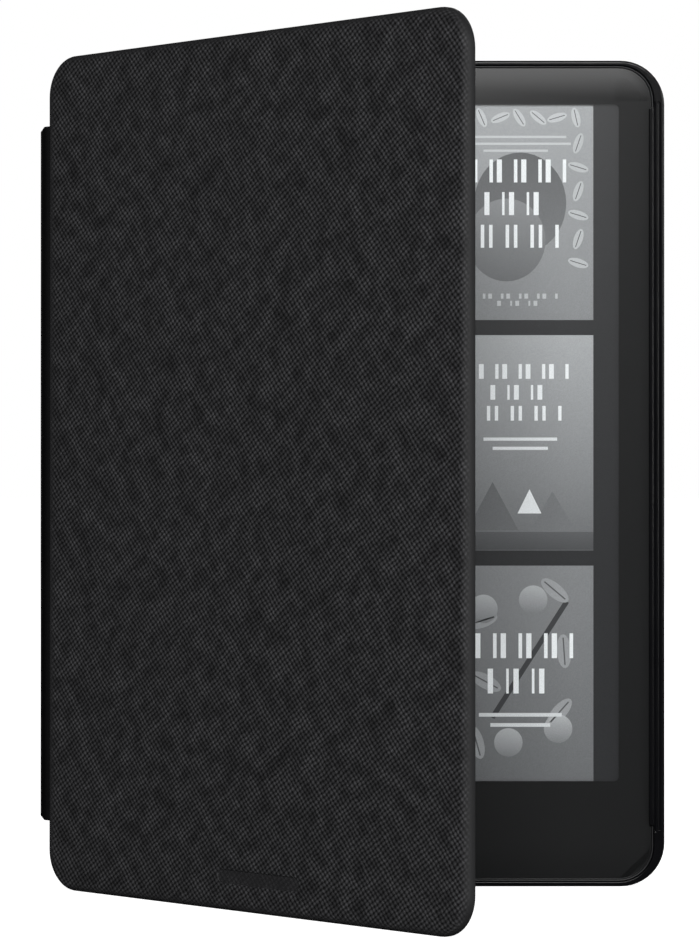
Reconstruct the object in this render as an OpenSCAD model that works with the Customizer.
// E-reader clipped into a folio case, standing on its lower edge with the cover swung open.
// Every module is drawn lying on its back: x across, y up the page, z towards the reader's eyes,
// z = 0 on the face of the reader. in_place() then stands the whole object upright.

/* [Reader] */
// width of the reader
reader_w = 127.6; // [100:0.2:160]
// height of the reader
reader_h = 176.7; // [150:0.1:220]
// thickness of the reader
reader_t = 7.8; // [7:0.1:10]
// radius of the reader's corners
reader_r = 7.5; // [5:0.1:12]

/* [Display] */
// face beside the display
window_side = 7.4; // [4:0.1:12]
// face above the display
window_top = 8.25; // [5:0.05:14]
// face below the display
window_chin = 21.55; // [18:0.05:30]
// radius of the display's corners
window_r = 1.1; // [0.4:0.1:3]

/* [Case shell] */
// long side walls of the shell with the fit
side_wall = 2.4; // [1.6:0.1:4]
// short end walls of the shell with the fit
end_wall = 1.15; // [0.9:0.05:3]
// floor of the shell
back_wall = 1.0; // [0.8:0.1:2]
// height of the rim over the reader's face
rim = 0.6; // [0.4:0.1:1]
// lip over the reader's face on the long sides
lip = 0.9; // [0.4:0.1:1.4]

/* [Folio] */
// thickness of the closed cover
cover_t = 2.9; // [2.2:0.1:4]
// thickness of the skin
skin_t = 0.6; // [0.4:0.05:0.8]
// height of the spine
spine_h = 149.8; // [110:0.2:170]
// angle of the cover from closed
open_angle = 48.8; // [5:0.2:85]

/* [Works] */
// width of the battery cell
battery_w = 64; // [45:1:80]
// room between the battery cell and the head of the reader
battery_room = 33.8; // [20:0.1:60]
// width of the main board
board_w = 96; // [86:1:100]
// height of the main board
board_h = 40; // [36:1:46]
// travel of the power button
button_travel = 0.35; // [0.2:0.05:0.4]

/* [Hidden] */
$fn = 64;

fit = 0.1;
play = 0.3;
case_w = reader_w + 2 * side_wall;
case_h = reader_h + 2 * end_wall;
case_r = reader_r + 2;
mid = case_h / 2;
bottom = end_wall;
top = bottom + reader_h;

// the stack behind the face
lens_z = -0.7;
mask_z = lens_z - 0.1;
touch_z = mask_z - 0.2;
guide_z = touch_z - 0.5;
panel_z = guide_z - 0.9;
plate_z = panel_z - 0.8;
split_z = plate_z - 0.3;
board_top = plate_z - 0.9;
board_z = board_top - 0.8;
bay_z = -reader_t + 1.0;
back_z = -reader_t;
shell_z = back_z - fit - back_wall;
skin_z = shell_z - 0.8;

// frame around the lens and the stack
lens_rim = 0.3;
frame_wall = 2.6;
housing_wall = 1.1;
housing_foot = 1.9;
pocket_w = reader_w - 2 * frame_wall;
pocket_h = reader_h - 2 * frame_wall;
pocket_r = reader_r - frame_wall;
window_w = reader_w - 2 * window_side;
window_h = reader_h - window_top - window_chin;
window_foot = bottom + window_chin;
window_y = window_foot + window_h / 2;
guide_foot = window_foot - 3.5;
panel_foot = window_foot - 7.4;
panel_top = window_y + window_h / 2 + 2.2;
plate_foot = bottom + 12.2;
plate_head = top - frame_wall - 0.3;
plate_w = pocket_w - 0.6;

// works
boss_x = plate_w / 2 - 6.5;
boss_y = [plate_foot + 5, mid - 26, mid + 30, plate_head - 7];
board_foot = bottom + 3.9;
board_head = board_foot + board_h;
post_x = board_w / 2 - 4;
post_y = [board_foot + 13.5, board_head - 4];
battery_foot = board_head + 11;
battery_h = top - battery_room - battery_foot;
battery_x = -44;
battery_z = bay_z + 0.3;
usb_w = 8.94;
usb_t = 3.16;
usb_l = 7.3;
usb_wall = 0.25;
port_x = 0;
port_z = bay_z + usb_t / 2 + 0.1;
plug_w = 13;
plug_t = 5.4;
button_w = 10;
button_t = 2;
button_x = 24;
button_z = bay_z + 1.6;
pipe_x = 13;
plunger_z = board_z - 0.8;
switch_foot = bottom + 4.4;
radio_x = 31;
can_z = board_z - 1.4;
magnet_y = [mid - 20, mid + 20];
magnet_l = 24;
lip_foot = bottom + 12;
lip_head = top - 9;
hall_y = board_foot + 20;
hall_x = board_w / 2 - 5;

// folds of the folio; the axes lie in the middle of the skin
cover_in = rim + 0.3;
cover_out = cover_in + cover_t;
fold_gap = skin_t / 2 + 0.4;
front_x = -case_w / 2 - 1.5;
front_z = cover_out - skin_t / 2;
rear_x = -case_w / 2 - 3.3;
rear_z = shell_z - 0.4;
spine_l = sqrt(pow(front_x - rear_x, 2) + pow(front_z - rear_z, 2));
spine_lean = atan2(front_x - rear_x, front_z - rear_z);
spine_foot = (case_h - spine_h) / 2;
// the stiff part of the spine ends below the closed cover's edge
stiff_l = spine_l - (cover_t - skin_t / 2 + play + 0.2) / cos(spine_lean);
cover_x0 = front_x + fold_gap;
cover_x1 = case_w / 2 - 0.4;
cover_w = cover_x1 - cover_x0;
cover_mid = (cover_x0 + cover_x1) / 2;
cover_edge = 1.2;
lining_in = 5.5;
turn_in = 0.4;

// reach of the open cover, for the middle of the whole object
reach_x = cover_x1 - front_x - cover_edge;
reach_z = cover_out - front_z - cover_edge;
front_reach = front_z + reach_x * sin(open_angle) + reach_z * cos(open_angle) + cover_edge;
whole_x0 = rear_x - skin_t / 2;
whole_x1 = case_w / 2;
middle_x = (whole_x0 + whole_x1) / 2;
middle_y = (-front_reach - skin_z) / 2;

// ---- placing ----

module in_place() {
  translate([-middle_x, -middle_y, 0]) rotate([90, 0, 0]) children();
}

// children drawn closed, turned about the front fold to where the cover stands
module opened() {
  translate([front_x, 0, front_z])
    rotate([0, -open_angle, 0])
      translate([-front_x, 0, -front_z]) children();
}

// children drawn with x inwards from the rear fold and z along the spine
module on_spine() {
  translate([rear_x, 0, rear_z]) rotate([0, spine_lean, 0]) children();
}

// a flat shape in x and z, pushed along y
module along_y(y0, y1) {
  translate([0, y1, 0]) rotate([90, 0, 0]) linear_extrude(y1 - y0) children();
}

// a flat shape in y and z, pushed along x
module along_x(x0, x1) {
  translate([x0, 0, 0]) rotate([90, 0, 90]) linear_extrude(x1 - x0) children();
}

// ---- shapes ----

module box(x0, x1, y0, y1, z0, z1) {
  translate([x0, y0, z0]) cube([x1 - x0, y1 - y0, z1 - z0]);
}

module round_rect(w, h, r) {
  square([w - 2 * r, h], center = true);
  square([w, h - 2 * r], center = true);
  for (sx = [-1, 1], sy = [-1, 1])
    translate([sx * (w / 2 - r), sy * (h / 2 - r)]) circle(r);
}

module plate(w, h, r, x, y, z0, z1) {
  translate([x, y, z0]) linear_extrude(z1 - z0) round_rect(w, h, r);
}

// section of a slab's edge: r across, rounded by low at the back and high at the front
module edge(r, z0, z1, low, high) {
  difference() {
    translate([0, z0]) square([r, z1 - z0]);
    translate([r - low, z0 + low]) difference() {
      translate([0, -low - 1]) square(low + 1);
      circle(low);
    }
    if (high > 0)
      translate([r - high, z1 - high]) difference() {
        square(high + 1);
        circle(high);
      }
  }
}

// a slab with rounded corners whose edge has the section above all the way round
module slab(w, h, r, x, y, z0, z1, low, high) {
  translate([x, y, 0]) {
    for (a = [0, 1, 2, 3]) {
      sx = (a == 0 || a == 3) ? 1 : -1;
      sy = a < 2 ? 1 : -1;
      translate([sx * (w / 2 - r), sy * (h / 2 - r), 0])
        rotate([0, 0, 90 * a]) rotate_extrude(angle = 90) edge(r, z0, z1, low, high);
    }
    for (a = [0, 180])
      rotate([0, 0, a]) translate([w / 2 - r, 0, 0]) rotate([90, 0, 0])
        linear_extrude(h - 2 * r, center = true) edge(r, z0, z1, low, high);
    for (a = [90, 270])
      rotate([0, 0, a]) translate([h / 2 - r, 0, 0]) rotate([90, 0, 0])
        linear_extrude(w - 2 * r, center = true) edge(r, z0, z1, low, high);
    translate([0, 0, (z0 + z1) / 2]) cube([w - 2 * r, h - 2 * r, z1 - z0], center = true);
  }
}

module stadium(w, h) {
  square([w - h, h], center = true);
  for (s = [-1, 1]) translate([s * (w - h) / 2, 0]) circle(h / 2);
}

module pin(x, y, z0, z1, d) {
  translate([x, y, z0]) cylinder(h = z1 - z0, d = d);
}

// a flex that leaves a part at y0, turns back at y1 and ends at y2
module loop(y0, z0, y1, z1, y2) {
  t = 0.15;
  c = 0.5;
  polygon([
    [y0, z0], [y1 + c, z0], [y1, z0 - c], [y1, z1 + c], [y1 + c, z1], [y2, z1],
    [y2, z1 + t], [y1 + c + 0.1, z1 + t], [y1 + t, z1 + c + 0.1],
    [y1 + t, z0 - c - 0.1], [y1 + c + 0.1, z0 - t], [y0, z0 - t]
  ]);
}

// ---- case ----

module case_shell() {
  in_place() color("#141416") difference() {
    slab(case_w, case_h, case_r, 0, mid, shell_z, rim, 3.4, 0.5);
    // room for the reader
    slab(reader_w + 2 * fit, reader_h + 2 * fit, reader_r + fit, 0, mid,
      back_z - fit, 0.05, 2.5, 0);
    // opening over the face, narrower between the lips
    plate(reader_w - 2 * lip, reader_h + 2 * fit, reader_r - lip, 0, mid, 0, rim + 1);
    difference() {
      plate(reader_w + 2 * fit, reader_h + 2 * fit, reader_r + fit, 0, mid, 0, rim + 1);
      box(-case_w, case_w, lip_foot, lip_head, -1, rim + 2);
    }
    // windows for the plug and for the button with its light
    along_y(-1, bottom + 0.5) translate([port_x, port_z]) stadium(plug_w, plug_t);
    along_y(-1, bottom + 0.5) translate([(button_x + pipe_x) / 2 + 1, button_z])
      stadium(button_x - pipe_x + 10, 4.4);
    // pocket for the closing magnets
    for (y = magnet_y)
      box(reader_w / 2, reader_w / 2 + 1.4, y - magnet_l / 2, y + magnet_l / 2, -5.2, -1.2);
  }
}

module shell_magnets() {
  in_place() color("#9a9ca0") for (y = magnet_y)
    box(reader_w / 2 + 0.2, reader_w / 2 + 1.4, y - magnet_l / 2, y + magnet_l / 2,
      -5.2, -1.2);
}

module back_leather() {
  flat_w = case_w - 2 * 3.6;
  in_place() color("#1b1b1d") union() {
    plate(flat_w, case_h - 2 * 3.6, case_r - 3.6, 0, mid, skin_z, shell_z);
    box(rear_x + skin_t / 2 + 0.35, -flat_w / 2 + 8, spine_foot, spine_foot + spine_h,
      skin_z, shell_z);
  }
}

module spine_leather() {
  in_place() color("#1b1b1d") on_spine() {
    box(-skin_t / 2, skin_t / 2, spine_foot, spine_foot + spine_h, 0, spine_l);
    for (z = [0, spine_l])
      translate([0, spine_foot, z]) rotate([-90, 0, 0])
        cylinder(h = spine_h, d = skin_t);
  }
}

module spine_board() {
  in_place() color("#7d7467") on_spine()
    box(skin_t / 2, skin_t / 2 + 0.6, spine_foot + 1.5, spine_foot + spine_h - 1.5,
      1.6, stiff_l);
}

module spine_lining() {
  in_place() color("#2b2b2e") on_spine()
    box(skin_t / 2 + 0.6, skin_t / 2 + 0.9, spine_foot + 1, spine_foot + spine_h - 1,
      1.3, stiff_l + 0.2);
}

module cover_leather() {
  mark_w = 26;
  mark_h = 2.6;
  in_place() color("#1b1b1d") opened() difference() {
    slab(cover_w, case_h, case_r - 1, cover_mid, mid, cover_in, cover_out, 0.4, cover_edge);
    plate(cover_w - 2 * skin_t, case_h - 2 * skin_t, case_r - 1 - skin_t, cover_mid, mid,
      cover_in + turn_in, cover_out - skin_t);
    plate(cover_w - 2 * lining_in, case_h - 2 * lining_in, 4, cover_mid, mid,
      cover_in - 1, cover_in + turn_in + 0.1);
    // plain blind mark at the foot of the cover
    translate([cover_mid, 7.5, cover_out - 0.2])
      linear_extrude(1) stadium(mark_w, mark_h);
  }
}

module cover_board() {
  in_place() color("#8b8171") opened() difference() {
    plate(cover_w - 2 * skin_t - 0.1, case_h - 2 * skin_t - 0.1, case_r - 1 - skin_t,
      cover_mid, mid, cover_in + turn_in, cover_out - skin_t);
    for (y = magnet_y)
      box(cover_x1 - 6.5, cover_x1 - 2.5, y - magnet_l / 2, y + magnet_l / 2,
        cover_in + turn_in - 0.1, cover_in + turn_in + 1);
    pin(hall_x, hall_y, cover_in + turn_in - 0.1, cover_in + turn_in + 1, 8);
  }
}

module cover_lining() {
  in_place() color("#2b2b2e") opened()
    plate(cover_w - 2 * lining_in, case_h - 2 * lining_in, 4, cover_mid, mid,
      cover_in, cover_in + turn_in);
}

module closing_magnets() {
  in_place() color("#9a9ca0") opened() for (y = magnet_y)
    box(cover_x1 - 6.5, cover_x1 - 2.5, y - magnet_l / 2, y + magnet_l / 2,
      cover_in + turn_in, cover_in + turn_in + 1);
}

module sleep_magnet() {
  in_place() color("#9a9ca0") opened()
    pin(hall_x, hall_y, cover_in + turn_in, cover_in + turn_in + 1, 8);
}

// ---- display ----

module front_lens() {
  r = lens_rim + 0.05;
  in_place() color("#3a3b3d") plate(reader_w - 2 * r, reader_h - 2 * r, reader_r - r, 0, mid,
    lens_z, 0);
}

module bezel_mask() {
  r = lens_rim + 0.05;
  in_place() color("#161617") difference() {
    plate(reader_w - 2 * r, reader_h - 2 * r, reader_r - r, 0, mid, mask_z, lens_z);
    plate(window_w, window_h, window_r, 0, window_y, mask_z - 1, lens_z + 1);
  }
}

module touch_sensor() {
  in_place() color("#c9cfd2") plate(pocket_w - 0.4, pocket_h - 0.4, pocket_r - 0.2, 0, mid,
    touch_z, mask_z);
}

module light_guide() {
  head = window_y + window_h / 2 + 1.5;
  in_place() color("#e4e8ea") plate(window_w + 3, head - guide_foot, 1, 0, (head + guide_foot) / 2,
    guide_z, touch_z);
}

module led_strip() {
  n = 12;
  pitch = (window_w - 12) / (n - 1);
  in_place() color("#d9b65a") union() {
    box(-window_w / 2, window_w / 2, guide_foot - 3, guide_foot - 0.2, guide_z, guide_z + 0.15);
    for (i = [0 : n - 1])
      box((i - (n - 1) / 2) * pitch - 1.5, (i - (n - 1) / 2) * pitch + 1.5,
        guide_foot - 1.5, guide_foot - 0.2, guide_z, guide_z + 0.42);
  }
}

module ink_panel() {
  in_place() color("#b9bbb8") plate(window_w + 4.4, panel_top - panel_foot, 0.8, 0,
    (panel_top + panel_foot) / 2, panel_z, guide_z);
}

module panel_gasket() {
  in_w = window_w + 5;
  in_place() color("#26272a") difference() {
    plate(pocket_w - 1, pocket_h - 1, pocket_r - 0.5, 0, mid, panel_z, touch_z);
    plate(in_w, window_h + 60, 1, 0, panel_top + 0.4 - window_h / 2 - 30, panel_z - 1, touch_z + 1);
    box(-reader_w, reader_w, -1, panel_foot + 1, panel_z - 1, touch_z + 1);
  }
}

module front_frame() {
  in_place() color("#18181a") difference() {
    plate(reader_w, reader_h, reader_r, 0, mid, split_z, 0);
    plate(reader_w - 2 * lens_rim, reader_h - 2 * lens_rim, reader_r - lens_rim, 0, mid,
      mask_z, 1);
    plate(pocket_w, pocket_h, pocket_r, 0, mid, split_z - 1, mask_z + 0.1);
  }
}

// ---- works ----

module chassis_plate() {
  h = plate_head - plate_foot;
  in_place() color("#a9acb0") difference() {
    union() {
      plate(plate_w, h, pocket_r - 0.3, 0, (plate_head + plate_foot) / 2, plate_z, panel_z);
      for (x = [-post_x, post_x], y = post_y) pin(x, y, board_top, plate_z + 0.1, 4);
    }
    for (x = [-post_x, post_x], y = post_y) pin(x, y, board_top - 1, plate_z + 0.1, 1.5);
    for (x = [-boss_x, boss_x], y = boss_y) {
      pin(x, y, plate_z - 1, panel_z + 1, 1.7);
      pin(x, y, panel_z - 0.5, panel_z + 1, 2.9);
    }
    for (x = [-1, 1])
      plate(plate_w / 2 - 28, 20, 3, x * (plate_w / 4 - 4), plate_head - 16,
        plate_z - 1, panel_z + 1);
  }
}

module chassis_screws() {
  in_place() color("#b4b6ba") for (x = [-boss_x, boss_x], y = boss_y) {
    pin(x, y, bay_z + 1, panel_z - 0.2, 1.4);
    difference() {
      pin(x, y, panel_z - 0.5, panel_z - 0.05, 2.6);
      pin(x, y, panel_z - 0.25, panel_z + 1, 0.8);
    }
  }
}

module battery_cell() {
  in_place() color("#6f7378") slab(battery_w, battery_h, 1.8, battery_x + battery_w / 2,
    battery_foot + battery_h / 2, battery_z, plate_z - 0.15, 0.6, 0.6);
}

module battery_tape() {
  in_place() color("#d8d4c6") for (s = [-1, 1])
    box(battery_x + battery_w / 2 + s * 18 - 8, battery_x + battery_w / 2 + s * 18 + 8,
      battery_foot + 8, battery_foot + battery_h - 8, plate_z - 0.15, plate_z);
}

module battery_lead() {
  x = battery_x + 16;
  in_place() color("#c4661f") box(x - 3.5, x + 3.5, board_head - 2.4, battery_foot,
    board_z - 0.9, board_z - 0.6);
}

module battery_socket() {
  x = battery_x + 16;
  in_place() color("#e8e4da") box(x - 4.2, x + 4.2, board_head - 6, board_head - 2.4,
    board_z - 1.2, board_z);
}

module main_board() {
  in_place() color("#1f4a33") difference() {
    plate(board_w, board_h, 1.5, 0, board_foot + board_h / 2, board_z, board_top);
    box(port_x - usb_w / 2 - fit, port_x + usb_w / 2 + fit, board_foot - 1,
      bottom + usb_l + 2 * fit, board_z - 1, board_top + 1);
    for (x = [-post_x, post_x], y = post_y) pin(x, y, board_z - 1, board_top + 1, 1.7);
  }
}

module board_screws() {
  in_place() color("#b4b6ba") for (x = [-post_x, post_x], y = post_y) {
    pin(x, y, board_z - 0.2, plate_z - 0.1, 1.4);
    difference() {
      pin(x, y, board_z - 0.6, board_z, 2.6);
      pin(x, y, board_z - 1, board_z - 0.35, 0.8);
    }
  }
}

module processor() {
  in_place() color("#222325") box(-29, -18, board_foot + 20, board_foot + 31, board_z - 0.9, board_z);
}

module memory_chip() {
  in_place() color("#222325") box(-15, -7, board_foot + 20, board_foot + 31, board_z - 0.8, board_z);
}

module radio_chip() {
  in_place() color("#222325") box(radio_x - 3.5, radio_x + 3.5, board_foot + 24, board_foot + 31,
    board_z - 0.8, board_z);
}

module power_chip() {
  in_place() color("#222325") box(-34, -28.5, board_foot + 8, board_foot + 13.5,
    board_z - 0.75, board_z);
}

module power_coil() {
  in_place() color("#4a4b4d") box(-25, -21, board_foot + 8.5, board_foot + 12.5,
    board_z - 1.2, board_z);
}

module can(x0, x1, y0, y1) {
  difference() {
    box(x0, x1, y0, y1, can_z, board_z);
    box(x0 + 0.2, x1 - 0.2, y0 + 0.2, y1 - 0.2, can_z + 0.2, board_z + 1);
  }
}

module shield_cans() {
  in_place() color("#b9bcc0") union() {
    can(-31, -5, board_foot + 18.5, board_foot + 32.5);
    can(radio_x - 5.5, radio_x + 5.5, board_foot + 22, board_foot + 33);
  }
}

module flex_sockets() {
  in_place() color("#e8e4da") {
    box(-20, 8, board_foot + 15, board_foot + 18.5, board_top, board_top + 0.6);
    box(13, 24, board_foot + 11, board_foot + 14, board_top, board_top + 0.6);
    box(-38, -30, board_foot + 11, board_foot + 14, board_top, board_top + 0.6);
  }
}

module hall_sensor() {
  in_place() color("#222325") box(hall_x - 1.5, hall_x + 1.5, hall_y - 0.8, hall_y + 0.8,
    board_z - 0.9, board_z);
}

module usb_shell() {
  in_place() color("#c3c6ca") translate([port_x, 0, port_z]) difference() {
    along_y(bottom + fit, bottom + fit + usb_l) stadium(usb_w, usb_t);
    along_y(bottom - 1, bottom + usb_l - 0.4)
      stadium(usb_w - 2 * usb_wall, usb_t - 2 * usb_wall);
  }
}

module usb_tongue() {
  in_place() color("#1d1d1f") translate([port_x, 0, port_z]) union() {
    along_y(bottom + usb_l - 1.4, bottom + usb_l - 0.4)
      stadium(usb_w - 2 * usb_wall - 0.2, usb_t - 2 * usb_wall - 0.2);
    box(-3.35, 3.35, bottom + 1.1, bottom + usb_l - 1.3, -0.35, 0.35);
  }
}

module power_button() {
  in_place() color("#1d1d1f") translate([button_x, 0, button_z]) union() {
    along_y(bottom - button_travel - 0.05, bottom + housing_foot + 0.1)
      stadium(button_w, button_t);
    along_y(bottom + housing_foot, bottom + housing_foot + 0.6)
      stadium(button_w + 2, button_t + 0.8);
  }
}

module switch_plunger() {
  in_place() color("#d8d4c6") box(button_x - 0.7, button_x + 0.7,
    bottom + housing_foot + 0.6, switch_foot + 0.6, plunger_z - 0.35, plunger_z + 0.35);
}

module power_switch() {
  in_place() color("#b9bcc0") difference() {
    box(button_x - 2.4, button_x + 2.4, switch_foot, switch_foot + 3.5,
      board_z - 1.6, board_z);
    box(button_x - 0.7 - play, button_x + 0.7 + play, switch_foot - 1,
      switch_foot + 0.6 + button_travel + play,
      plunger_z - 0.35 - play, plunger_z + 0.35 + play);
  }
}

module light_pipe() {
  in_place() color("#e4e8ea") along_y(bottom, bottom + 3.4)
    translate([pipe_x, button_z]) circle(0.6);
}

module status_led() {
  in_place() color("#f1ecd8") box(pipe_x - 0.8, pipe_x + 0.8, board_foot + 0.2, board_foot + 1.2,
    board_z - 0.8, board_z);
}

module antenna() {
  y = top - housing_foot - 0.5;
  in_place() color("#c98a3a") box(-26, 26, y, y + 0.3, bay_z + 0.3, split_z - 0.7);
}

module antenna_cable() {
  x = radio_x + 8.5;
  z = bay_z + 0.9;
  y0 = board_foot + 28;
  y1 = top - housing_foot - 4;
  in_place() color("#3a3a3c") {
    translate([x, y0, z]) rotate([-90, 0, 0]) cylinder(h = y1 - y0, d = 0.8);
    translate([x, y0, z]) sphere(d = 0.8);
    translate([x, y1, z]) sphere(d = 0.8);
    translate([radio_x + 5.6, y0, z]) rotate([0, 90, 0]) cylinder(h = x - radio_x - 5.6, d = 0.8);
    translate([20, y1, z]) rotate([0, 90, 0]) cylinder(h = x - 20, d = 0.8);
    translate([20, y1, z]) sphere(d = 0.8);
    translate([20, y1, z]) rotate([-90, 0, 0]) cylinder(h = 3.4, d = 0.8);
  }
}

module display_flex() {
  in_place() color("#c98a3a") along_x(-18, 6)
    loop(panel_foot, panel_z + 0.5, plate_foot - 2, plate_z - 0.55, board_foot + 15);
}

module touch_flex() {
  in_place() color("#c98a3a") along_x(14, 23)
    loop(bottom + 9, touch_z, bottom + 4.6, plate_z - 0.55, board_foot + 11);
}

module light_flex() {
  in_place() color("#c98a3a") along_x(-37, -31)
    loop(guide_foot - 3, guide_z + 0.15, bottom + 7.4, plate_z - 0.55, board_foot + 11);
}

module perimeter_seal() {
  in_place() color("#2b2c2f") difference() {
    plate(reader_w - 2 * housing_wall, reader_h - 2 * housing_wall, reader_r - housing_wall,
      0, mid, split_z - 0.5, split_z);
    plate(reader_w - 2 * housing_foot, reader_h - 2 * housing_foot, reader_r - housing_foot,
      0, mid, split_z - 1, split_z + 1);
    box(port_x - 5.2, port_x + 5.2, bottom, bottom + 3, split_z - 1, split_z + 1);
    box(button_x - 8.2, button_x + 8.2, bottom, bottom + 3, split_z - 1, split_z + 1);
  }
}

module rear_housing() {
  in_place() color("#1a1a1c") difference() {
    union() {
      difference() {
        slab(reader_w, reader_h, reader_r, 0, mid, back_z, split_z, 2.6, 0);
        plate(reader_w - 2 * housing_wall, reader_h - 2 * housing_wall,
          reader_r - housing_wall, 0, mid, bay_z + 0.8, split_z + 1);
        plate(reader_w - 2 * housing_foot, reader_h - 2 * housing_foot,
          reader_r - housing_foot, 0, mid, bay_z, split_z + 1);
      }
      // pad behind the button
      box(button_x - 8, button_x + 8, bottom + 0.5, bottom + housing_foot, bay_z - 0.1, split_z);
      // bosses under the plate
      for (x = [-boss_x, boss_x], y = boss_y) pin(x, y, bay_z - 0.1, plate_z, 4);
      // low ribs over the empty bay
      for (x = [26, 34])
        box(x, x + 0.8, battery_foot, battery_foot + battery_h, bay_z - 0.1, bay_z + 1.2);
    }
    for (x = [-boss_x, boss_x], y = boss_y) pin(x, y, bay_z + 0.8, plate_z + 1, 1.5);
    along_y(bottom - 1, bottom + 4) translate([port_x, port_z])
      stadium(usb_w + fit, usb_t + fit);
    along_y(bottom - 1, bottom + 4) translate([button_x, button_z])
      stadium(button_w + 2 * play, button_t + 2 * play);
    along_y(bottom - 1, bottom + 4) translate([pipe_x, button_z]) circle(0.65);
  }
}

// ---- drawing ----

case_shell();
shell_magnets();
back_leather();
spine_leather();
spine_board();
spine_lining();
cover_leather();
cover_board();
cover_lining();
closing_magnets();
sleep_magnet();
front_lens();
bezel_mask();
touch_sensor();
light_guide();
led_strip();
ink_panel();
panel_gasket();
front_frame();
chassis_plate();
chassis_screws();
battery_cell();
battery_tape();
battery_lead();
battery_socket();
main_board();
board_screws();
processor();
memory_chip();
radio_chip();
power_chip();
power_coil();
shield_cans();
flex_sockets();
hall_sensor();
usb_shell();
usb_tongue();
power_button();
switch_plunger();
power_switch();
light_pipe();
status_led();
antenna();
antenna_cable();
display_flex();
touch_flex();
light_flex();
perimeter_seal();
rear_housing();
